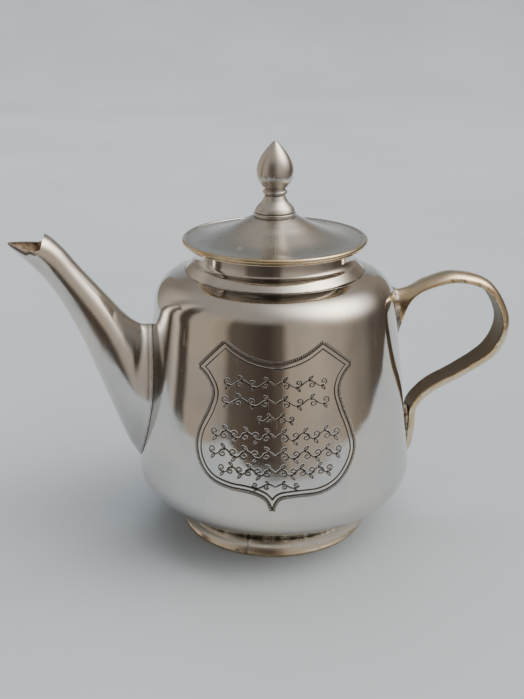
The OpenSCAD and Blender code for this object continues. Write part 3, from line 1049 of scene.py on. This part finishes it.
# Each row is one station: inner x and z, outer x and z, half width
HANDLE_ROWS = np.array([
    [46, 79, 45, 99, 6.6], [51.8, 86, 52.2, 99.6, 6.5], [55.8, 95.2, 57.6, 100.8, 6.2],
    [63, 100.2, 64.4, 104, 6], [76, 102.5, 76, 106.4, 6], [89, 98, 91.5, 101.2, 6],
    [96.3, 85, 100.6, 85, 6], [92.4, 73, 96.7, 69.8, 5.8], [80, 64.2, 82.4, 60, 5.4],
    [66.4, 57, 69, 53, 5.1], [58.7, 48.4, 62.6, 46.4, 4.9], [57.9, 38, 62, 37.6, 4.4],
    [57.5, 29, 60.8, 28, 3], [57, 23.4, 57.8, 23, 0.8]])


def grip_section():
    """The half-round section as (share of the half width, share of the thickness) rows."""
    a = np.radians(np.linspace(9, 171, 37))
    crown = np.stack([np.cos(a), np.sin(a) ** 0.8], -1)
    corner = [(-0.998, 0.15), (-0.985, 0.07), (-0.95, 0.02)]
    flat = [(x, 0.03 * math.cos(x * math.pi / 2)) for x in np.linspace(-0.88, 0.88, 13)]
    other = [(-x, h) for x, h in corner[::-1]]
    return np.vstack([crown, corner, flat, other])


GRIP = grip_section()
NICKS = 46


def handle_points(t, nicked=True):
    """The handle's skin at parameters t (rings by section points)."""
    rows = along(HANDLE_ROWS, t)
    flat, top = rows[..., 0:2], rows[..., 2:4]
    up = top - flat
    share, rise = GRIP[:, 0], GRIP[:, 1]
    place = flat + up * rise[None, :, None]
    width = rows[..., 4] * share[None, :]
    if nicked:
        dice = np.random.default_rng(8)
        edge = np.clip((np.abs(share) - 0.9) / 0.1, 0, 1) * (rise < 0.4)
        for _ in range(NICKS):
            at, size = dice.uniform(2.4, 11.0), dice.uniform(0.02, 0.07)
            side, deep = dice.choice([-1, 1]), dice.uniform(0.1, 0.42)
            hit = (np.exp(-((t - at) / size) ** 2) * (np.sign(share)[None, :] == side)
                   * edge[None, :])
            width = width - np.sign(share)[None, :] * deep * hit
            place = place + (up / np.linalg.norm(up, axis=-1, keepdims=True)) * (
                0.5 * deep * hit)[..., None]
    return np.stack([place[..., 0], width, place[..., 1]], -1)


def handle_start():
    """Where along the handle each point of its section leaves the body's wall."""
    t = np.linspace(0, 4, 1600)
    skin = handle_points(np.repeat(t[:, None], len(GRIP), 1), nicked=False)
    outside = np.hypot(skin[..., 0], skin[..., 1]) > body_radius(skin[..., 2])
    return t[np.argmax(outside, axis=0)]


def make_handle():
    start = handle_start()
    shared = 3.0
    root = np.linspace(0, 1, 30)[:, None]
    t = start[None, :] + (shared - start[None, :]) * root
    rest = np.linspace(shared, len(HANDLE_ROWS) - 1, 250)[1:, None]
    t = np.vstack([t, np.repeat(rest, len(GRIP), 1)])
    skin = handle_points(t)
    uneven = 0.12 * np.sin(t * 4.1 + 1.0)[..., None] * np.array([0, 1, 0])
    skin = skin + uneven * np.sign(skin) * np.abs(GRIP[:, 0])[None, :, None] * 0.5
    rows, cols = t.shape
    faces = [list(map(int, f)) for f in grid_faces(rows, cols, False, True)]
    faces.append(list(range(cols)))
    faces.append([(rows - 1) * cols + k for k in range(cols)])
    near_edge = np.clip((np.abs(GRIP[:, 0]) - 0.86) / 0.12, 0, 1) * (GRIP[:, 1] < 0.5)
    worn = np.repeat(near_edge[None, :], rows, 0)
    worn = np.maximum(worn, 0.5 * np.clip((t - 7.5) / 2, 0, 1))
    # painted shade where the handle leaves the body
    shade_and_grime = np.exp(-(t - start[None, :]) / 0.05) * 0.9
    # painted shade on the handle's flat inner face, through the same mark that darkens engraved
    # lines
    inner_face_shade = 0.78 * (GRIP[:, 1] < 0.05)[None, :] * np.ones_like(t)
    made = mesh_object("handle_cast", skin.reshape(-1, 3), faces, handle_metal, 45,
                       marks={"worn": worn, "dirt_and_shade": shade_and_grime, "groove_and_shade": inner_face_shade})
    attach(made, "pot")
    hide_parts("handle")


make_handle()


def handle_top_bead():
    """Bright lumpy solder where the handle leaves the shoulder."""
    start = handle_start()[None, :]
    here, further = (handle_points(start + rise, nicked=False)[0] for rise in (0.0, 0.12))
    bead("handle_upper_joint", "handle_upper_solder", here, further, 1, 2.3, 1.7, 5, 0.5, 0.25,
         solder_metal)


handle_top_bead()


PAD_Z, PAD_HALF_HEIGHT, PAD_HALF_WIDTH = 38.4, 8.8, 5.0


def handle_low_pad():
    """The thick pad of solder that fills the gap between the handle's tail and the wall."""
    rows, cols = 40, 48
    up = np.linspace(0.001, math.pi - 0.001, rows)[:, None]
    turn = np.linspace(0, 2 * math.pi, cols, endpoint=False)[None, :]
    lump = 1 + 0.10 * np.sin(5 * turn + 3 * up) + 0.08 * np.sin(9 * up + 2 * turn + 1)
    z = PAD_Z + PAD_HALF_HEIGHT * np.cos(up) * np.ones_like(turn)
    y = PAD_HALF_WIDTH * np.sin(up) ** 0.7 * np.sin(turn) * lump
    depth = np.sin(up) ** 0.55 * np.cos(turn) * lump
    wall = wall_x(y, z)
    tail = np.interp(z, [29, 38, 48.4, 53], [57.5, 57.9, 58.7, 62.0])
    middle, half = (wall + tail + 0.5) / 2, (tail + 0.9 - wall) / 2
    x = middle + np.maximum(half, 0.35) * depth
    x = np.maximum(x, wall - 0.15)
    points = np.stack([x, y, z], -1).reshape(-1, 3)
    made = mesh_object("handle_lower_joint", points, grid_faces(rows, cols, False, True),
                       solder_metal, 60)
    work = bmesh.new()
    work.from_mesh(made.data)
    bmesh.ops.holes_fill(work, edges=work.edges, sides=0)
    bmesh.ops.recalc_face_normals(work, faces=work.faces)
    work.to_mesh(made.data)
    work.free()
    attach(made, "pot")
    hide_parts("handle_lower_solder")


handle_low_pad()

# ---- lid ----

LID_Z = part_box("lid_wire")[0].z / MM
WIRE_R = (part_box("lid_wire")[1].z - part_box("lid_wire")[0].z) / 2 / MM
WIRE_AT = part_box("lid_wire")[1].x / MM - WIRE_R
LID_SHEET = 0.8
CROWN_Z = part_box("finial_disc")[0].z / MM
DISC_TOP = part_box("finial_disc")[1].z / MM
DISC_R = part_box("finial_disc")[1].x / MM
STUD_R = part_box("finial_stud")[1].x / MM
TIP_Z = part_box("finial")[1].z / MM


def dome_outline():
    top = curve([(WIRE_AT - 0.6, LID_Z + 1.5), (33, 123.6), (30, 123.9), (26, 124.8), (22, 126.1),
                 (17, 128.1), (13, 130.1), (9.5, 131.8), (DISC_R - 0.5, CROWN_Z)], 10)
    under = np.stack([top[::-3, 0], np.maximum(top[::-3, 1] - LID_SHEET, LID_Z)], -1)
    return dense(np.vstack([top, [(STUD_R, CROWN_Z), (STUD_R, CROWN_Z - LID_SHEET)], under]), 0.9)


def uneven_dome(azimuth, radius, height):
    """A spun dome with shallow waves and two small dings."""
    inside = np.clip((radius - DISC_R) / 4, 0, 1) * np.clip((WIRE_AT - 1 - radius) / 3, 0, 1)
    low = 0.22 * waves(azimuth, radius * 2, 41, 7, 4)
    low = low + 0.3 * bump_at(azimuth, radius, radius, -128, 27, 3.5)
    low = low + 0.25 * bump_at(azimuth, radius, radius, 40, 22, 5)
    return radius, height - inside * low


# Painted shade in the creases by the rolled wire and round the finial's disc.
def dome_shade(azimuth, radius, height):
    wire = np.exp(-(WIRE_AT - 1 - radius) / 0.7)
    disc = np.exp(-np.maximum(radius - DISC_R, 0) / 0.5) * (radius > DISC_R - 0.6)
    return np.clip(0.3 * wire + 0.5 * disc, 0, 1)


dome = revolve("lid_dome_spun", dome_outline(), lid_metal, 320, shape=uneven_dome,
               marks={"dirt_and_shade": dome_shade,
                      "worn": lambda a, r, h: 0.15 * np.clip((r - 31) / 4, 0, 1)})
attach(dome, "lid")
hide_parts("lid_dome")


def uneven_wire(azimuth, radius, height):
    """A rolled edge that is a little thinner in places."""
    worn = 0.94 + 0.06 * waves(azimuth, height * 0, 51, 7, 11)
    middle = LID_Z + WIRE_R
    return WIRE_AT + (radius - WIRE_AT) * worn, middle + (height - middle) * worn


wire = revolve("lid_rolled_edge", arc((WIRE_AT, LID_Z + WIRE_R), WIRE_R, 0, 360, 36)[:-1],
               wire_metal, 360, shape=uneven_wire,
               marks={"plate": lambda a, r, h: np.clip(
                   0.5 + (WIRE_AT - r) / (0.4 * WIRE_R), 0, 1)})
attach(wire, "lid")
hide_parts("lid_wire")

BEZEL_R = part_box("lid_bezel")[1].x / MM
BEZEL_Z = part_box("lid_bezel")[0].z / MM
BEZEL_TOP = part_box("lid_bezel")[1].z / MM
bezel_line = dense(rounded([(BEZEL_R - LID_SHEET, BEZEL_Z, 0.3), (BEZEL_R, BEZEL_Z, 0.3),
                            (BEZEL_R, BEZEL_TOP, 0), (BEZEL_R - LID_SHEET, BEZEL_TOP, 0)]), 0.8)
bezel = revolve("lid_neck_ring", bezel_line, neck_metal, 256,
                shape=lambda a, r, h: (r - 0.1 * waves(a, h, 61, 5, 4), h))
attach(bezel, "lid")
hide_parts("lid_bezel")

# ---- finial ----

disc_line = dense(rounded([(STUD_R, CROWN_Z, 0), (DISC_R - 0.15, CROWN_Z, 0.25),
                           (DISC_R, DISC_TOP, 0.45), (STUD_R, DISC_TOP, 0)]), 0.5)
# painted shade along the disc's foot, where it sits on the dome
disc = revolve("finial_washer_disc", disc_line, turned_metal, 192,
               marks={"dirt_and_shade": lambda a, r, h: 0.9 * np.exp(-(h - CROWN_Z) / 0.25)})
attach(disc, "lid")
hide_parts("finial_disc")


def finial_outline():
    flare = curve([(7.95, DISC_TOP + 0.75), (7.1, 135.9), (5.3, 137.8), (4.35, 139.6),
                   (4.05, 140.6)], 7)
    bead_ring = arc((4.05, 141.6), 0.85, -80, 80, 12)
    bud = curve([(4.1, 143.1), (5.5, 144.4), (6.85, 146.7), (7.3, 149.6), (6.85, 152.4),
                 (5.6, 155.3), (3.8, 158.0), (1.75, 160.3), (0.35, TIP_Z - 0.12)], 9)
    foot_part = [(STUD_R, DISC_TOP), (7.6, DISC_TOP), (7.95, DISC_TOP + 0.3)]
    bore = [(0.0, TIP_Z), (0.0, 140.6), (STUD_R, 140.6)]
    return np.vstack([foot_part, flare, bead_ring, bud, bore])


def turned_grooves(azimuth, radius, height):
    """Shallow rings left by the tool, and fine ripples up the bud."""
    ring = 0.05 * (np.exp(-((height - 143.3) / 0.22) ** 2) + np.exp(-((height - 140.3) / 0.2) ** 2))
    ring = ring + 0.012 * np.sin(height * 9) * (height > 143.5)
    skin = radius > STUD_R + 0.2
    return radius - ring * 3 * skin, height


# painted shade in the two grooves by the bead ring and at the foot on the disc
finial = revolve("finial_bud", dense(finial_outline(), 0.45), turned_metal, 192,
                 shape=turned_grooves,
                 marks={"dirt_and_shade": lambda a, r, h: np.clip(
                     0.8 * np.exp(-((h - 142.95) / 0.3) ** 2)
                     + 0.8 * np.exp(-((h - 140.35) / 0.25) ** 2)
                     + np.exp(-(h - DISC_TOP) / 0.2), 0, 1)})
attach(finial, "lid")
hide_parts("finial")

# ---- CAD nodes that stay ----

KEPT = {"base_plate": inside_metal, "finial_stud": wire_metal, "finial_washer": wire_metal,
        "finial_nut": wire_metal}
for kept, metal in KEPT.items():
    mesh = nodes[kept].data
    mesh.materials.clear()
    mesh.materials.append(metal)
    smooth(mesh, 32)

# ---- floor, light and camera ----


def make_floor():
    """A pale sheet that ends in front of the pot and curves up behind it."""
    line = np.vstack([[(-225, -0.05), (1500, -0.05)], arc((1500, 899.95), 900, -90, 0, 24),
                      [(2400, 2600)]])
    left = np.interp(line[:, 0], [0, 1500], [-225, -520])
    right = np.interp(line[:, 0], [0, 1500], [180, 1250])
    points = np.array([[x, y, z] for a, b, (y, z) in zip(left, right, line) for x in (a, b)])
    floor = mesh_object("floor", points, grid_faces(len(line), 2), floor_paint(), weld=False)


def floor_paint():
    n = Nodes("pale_floor")
    clouds = n.noise(n.place, 3.0, 3.0)
    tone = n.mix(n.span(clouds, 0.3, 0.7), rgb(0.49, 0.56, 0.64), rgb(0.54, 0.61, 0.69))
    return n.finish(tone, 0.85, metallic=0.0)


# Brightness of the room at azimuths in degrees, at the height of the pot
ROOM = ((-180, 0.46), (-160, 0.44), (-146, 0.36), (-136, 0.10), (-104, 0.045), (-93, 0.09),
        (-84, 0.42), (-62, 0.50), (-40, 0.40), (-18, 0.24), (2, 0.10), (22, 0.07), (62, 0.26),
        (110, 0.24), (138, 0.55), (150, 0.28), (161, 0.74), (167, 0.05), (175, 0.06), (180, 0.46))
DARK, LIGHT = np.array([0.030, 0.019, 0.014]), np.array([1.12, 0.98, 0.82])
CEILING, UNDER = rgb(0.42, 0.39, 0.355), rgb(0.07, 0.055, 0.05)
# The window: the way to it, how narrow its glow is, and its colour
WINDOW, GLOW_POWER, GLOW = (0.61, -0.12, 0.785), 11.0, (6.0, 5.5, 4.9)


def room_light():
    """A dim room with pale and dark strips, a light ceiling and one bright soft window."""
    world = bpy.data.worlds.new("room")
    bpy.context.scene.world = world
    world.use_nodes = True
    n = Graph(world.node_tree)
    way = n.add("ShaderNodeTexCoord").outputs["Generated"]
    split = n.add("ShaderNodeSeparateXYZ")
    n.put(split.inputs[0], way)
    x, y, z = split.outputs
    turn = n.math("ARCTAN2", y, x)
    strips = n.add("ShaderNodeValToRGB")
    n.put(strips.inputs[0], n.math("ADD", n.math("MULTIPLY", turn, 0.5 / math.pi), 0.5))
    ramp = strips.color_ramp
    ramp.interpolation = "EASE"
    for k, (at, shine) in enumerate(ROOM):
        place = (at + 180) / 360
        stop = ramp.elements[k] if k < 2 else ramp.elements.new(place)
        stop.position = place
        stop.color = rgb(*(DARK + (LIGHT - DARK) * shine))
    room = n.mix(n.span(z, 0.42, 0.80), strips.outputs[0], CEILING)
    room = n.mix(n.span(z, -0.16, -0.5), room, UNDER)
    near = n.math("MAXIMUM", n.vector("DOT_PRODUCT", way, WINDOW), 0.0)
    glow = n.vector("SCALE", GLOW, n.math("POWER", near, GLOW_POWER))
    n.put(n.tree.nodes["Background"].inputs[0], n.vector("ADD", room, glow))


def soft_light(name, place, target, size, power, colour):
    """A lamp that the camera and the reflections don't see."""
    light = bpy.data.lights.new(name, "AREA")
    light.shape = "RECTANGLE"
    light.size, light.size_y = size
    light.energy = power
    light.color = colour
    lamp = bpy.data.objects.new(name, light)
    bpy.context.scene.collection.objects.link(lamp)
    lamp.location = place
    aim = np.array(target, float) - np.array(place, float)
    flat = math.hypot(aim[0], aim[1])
    lamp.rotation_euler = (math.atan2(flat, -aim[2]), 0, math.atan2(aim[1], aim[0]) - math.pi / 2)
    lamp.visible_camera = False
    lamp.visible_glossy = False


make_floor()
room_light()
soft_light("overhead", (-0.1, 0.8, 1.5), (0, 0.6, 0), (1.2, 1.0), 10.5, (0.96, 0.98, 1.0))

camera_data = bpy.data.cameras.new("camera")
camera_data.sensor_fit = "VERTICAL"
camera_data.sensor_height = 36
camera_data.lens = 51.5
camera = bpy.data.objects.new("camera", camera_data)
bpy.context.scene.collection.objects.link(camera)
camera.location = (-0.0589, -0.3858, 0.2205)
camera.rotation_euler = (math.radians(69.6), 0, math.radians(-7.93))
bpy.context.scene.camera = camera
